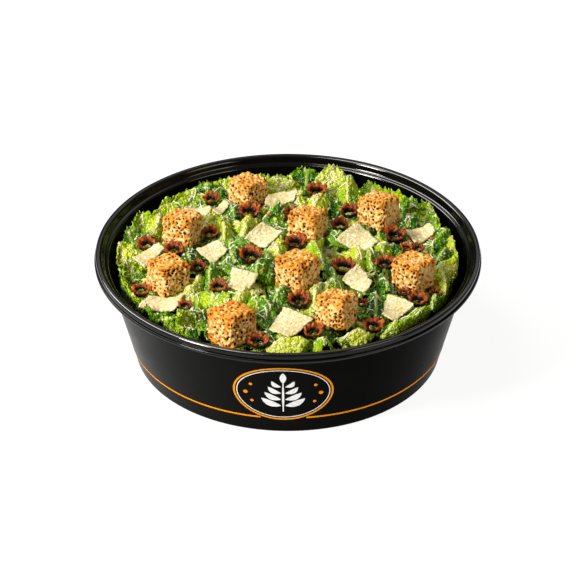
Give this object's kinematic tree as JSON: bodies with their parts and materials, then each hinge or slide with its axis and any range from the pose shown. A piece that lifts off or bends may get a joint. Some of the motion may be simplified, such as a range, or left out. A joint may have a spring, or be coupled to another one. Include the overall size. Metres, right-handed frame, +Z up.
{
  "type": "caesar salad",
  "caption": "Romaine heaped in a round black take-away bowl with a stepped lid lip, topped with cube croutons, thin hard-cheese shavings and crisp bacon curls.",
  "frame": {"origin": "centre of the bowl's underside, on the surface it stands on", "axes": "+Z up, along the bowl's axis; -Y towards the front of the bowl, where its printed mark is"},
  "size_m": [0.185, 0.185, 0.0694],
  "materials": {
    "bowl_plastic": "black moulded polypropylene, smooth satin gloss",
    "print": "flat orange and white ink printed on the bowl's wall",
    "romaine": "moist crinkled romaine leaf, dark green to pale yellow-green, with a thin creamy dressing",
    "crouton": "toasted bread cube, golden with browned edges and open pores",
    "cheese": "pale cream hard cheese shaving, slightly granular",
    "bacon": "crisp dark red-brown bacon with a light sheen of fat"
  },
  "bodies": {
    "root": {"bowl": "bowl_plastic", "romaine": "romaine", "crouton_1": "crouton", "crouton_2": "crouton", "crouton_3": "crouton", "crouton_4": "crouton", "crouton_5": "crouton", "crouton_6": "crouton", "crouton_7": "crouton", "crouton_8": "crouton", "crouton_9": "crouton", "shaving_1": "cheese", "shaving_2": "cheese", "shaving_3": "cheese", "shaving_4": "cheese", "shaving_5": "cheese", "shaving_6": "cheese", "shaving_7": "cheese", "shaving_8": "cheese", "shaving_9": "cheese", "shaving_10": "cheese", "shaving_11": "cheese", "shaving_12": "cheese", "shaving_13": "cheese", "bacon_1": "bacon", "bacon_2": "bacon", "bacon_3": "bacon", "bacon_4": "bacon", "bacon_5": "bacon", "bacon_6": "bacon", "bacon_7": "bacon", "bacon_8": "bacon", "bacon_9": "bacon", "bacon_10": "bacon", "bacon_11": "bacon", "bacon_12": "bacon", "bacon_13": "bacon", "bacon_14": "bacon", "bacon_15": "bacon", "bacon_16": "bacon", "bacon_17": "bacon", "bacon_18": "bacon", "bacon_19": "bacon", "bacon_20": "bacon", "bacon_21": "bacon", "bacon_22": "bacon", "bacon_23": "bacon", "bacon_24": "bacon", "bacon_25": "bacon", "bacon_26": "bacon", "bacon_27": "bacon", "bacon_28": "bacon"}
  },
  "joints": []
}
